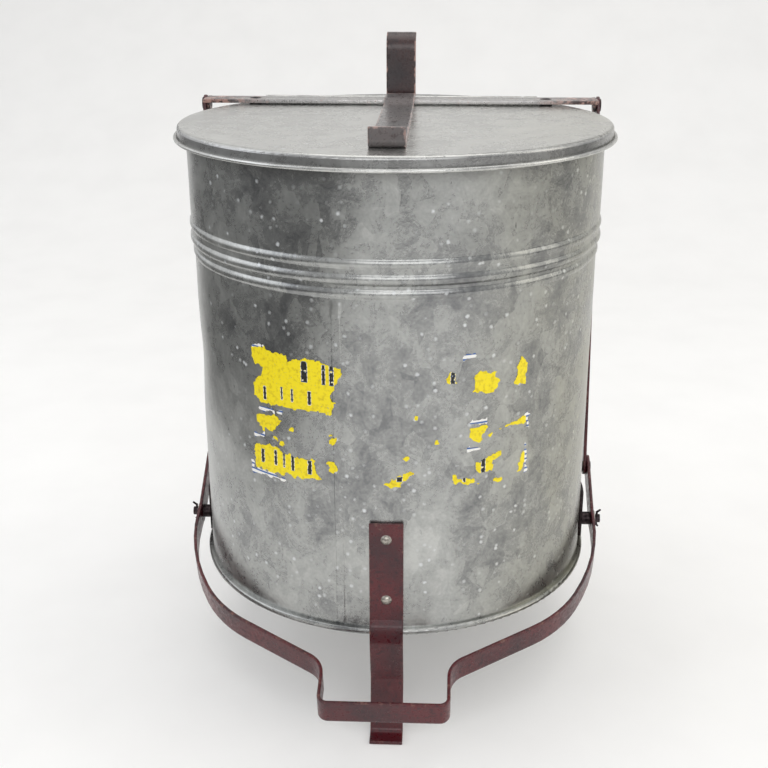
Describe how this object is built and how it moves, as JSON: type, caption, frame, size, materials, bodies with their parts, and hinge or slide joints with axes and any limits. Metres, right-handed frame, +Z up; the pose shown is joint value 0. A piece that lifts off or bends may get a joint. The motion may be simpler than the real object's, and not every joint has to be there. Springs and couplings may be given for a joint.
{
  "type": "oily waste can",
  "caption": "Round galvanised waste can on strap legs, with a flat hinged lid that a front foot hoop lifts through side links and a crossbar.",
  "frame": {"origin": "centre of the bounding box in plan, on the floor under the feet", "axes": "+Z up, -Y towards the foot pedal (front), +X to the right seen from the front"},
  "size_m": [0.3982, 0.4224, 0.5596],
  "materials": {
    "galvanised_sheet": "galvanised sheet steel, dull grey with white corrosion bloom and dark scuffs",
    "galvanised_lid": "galvanised sheet steel, smoother and lighter, faint stains",
    "red_enamel": "deep red machine enamel, half gloss, worn to primer and steel along the edges",
    "dark_enamel": "darkened brown-red enamel, oily gloss, worn edges",
    "black_steel": "oil-blackened steel",
    "rivet_steel": "worn bright rivet steel"
  },
  "bodies": {
    "can": {"body_wall": "galvanised_sheet", "bottom_rim": "galvanised_sheet", "base_plate": "galvanised_sheet", "mouth_bead": "galvanised_sheet", "rear_top_plate": "galvanised_sheet", "hinge_body_leaf": "galvanised_lid", "hinge_pin": "rivet_steel", "lid_stop": "dark_enamel", "lid_stop_rivets": "black_steel", "front_leg": "red_enamel", "rear_leg_left": "red_enamel", "rear_leg_right": "red_enamel", "leg_rivets": "rivet_steel", "pivot_bracket_left": "black_steel", "pivot_bracket_right": "black_steel", "bracket_rivets": "black_steel", "pivot_pin_left": "black_steel", "pivot_pin_right": "black_steel", "pivot_spacers": "black_steel", "pivot_washers": "rivet_steel", "cotter_pin_left": "black_steel", "cotter_pin_right": "black_steel"},
    "lid": {"lid_pan": "galvanised_lid", "lid_bead": "galvanised_lid", "hinge_lid_leaf": "galvanised_lid", "lift_crossbar": "dark_enamel", "crossbar_spacers": "black_steel", "crossbar_rivets": "black_steel", "lid_strap": "dark_enamel", "lid_strap_rivets": "dark_enamel", "crossbar_pin_left": "black_steel", "crossbar_pin_right": "black_steel"},
    "foot_lever": {"foot_hoop": "red_enamel", "crank_pin_left": "black_steel", "crank_pin_right": "black_steel"},
    "link_left": {"lift_link_left": "red_enamel"},
    "link_right": {"lift_link_right": "red_enamel"}
  },
  "joints": [
    {"name": "lid_hinge", "type": "hinge", "parent": "can", "child": "lid", "pos_m": [0, 0.15168, 0.4998], "axis": [-1, 0, 0], "range_deg": [0, 54.5]},
    {"name": "foot_lever_pivot", "type": "hinge", "parent": "can", "child": "foot_lever", "pos_m": [0, 0.02768, 0.117], "axis": [1, 0, 0], "range_deg": [0, 12]},
    {"name": "link_left_swing", "type": "hinge", "parent": "foot_lever", "child": "link_left", "pos_m": [-0.187, 0.07768, 0.149], "axis": [1, 0, 0], "range_deg": [-13.2, 0.1]},
    {"name": "link_right_swing", "type": "hinge", "parent": "foot_lever", "child": "link_right", "pos_m": [0.187, 0.07768, 0.149], "axis": [1, 0, 0], "range_deg": [-13.2, 0.1]}
  ],
  "couplings": [
    {"joint": "foot_lever_pivot", "follows": "lid_hinge", "ratio": 0.219},
    {"joint": "link_left_swing", "follows": "lid_hinge", "ratio": -0.23856},
    {"joint": "link_right_swing", "follows": "lid_hinge", "ratio": -0.23856}
  ]
}
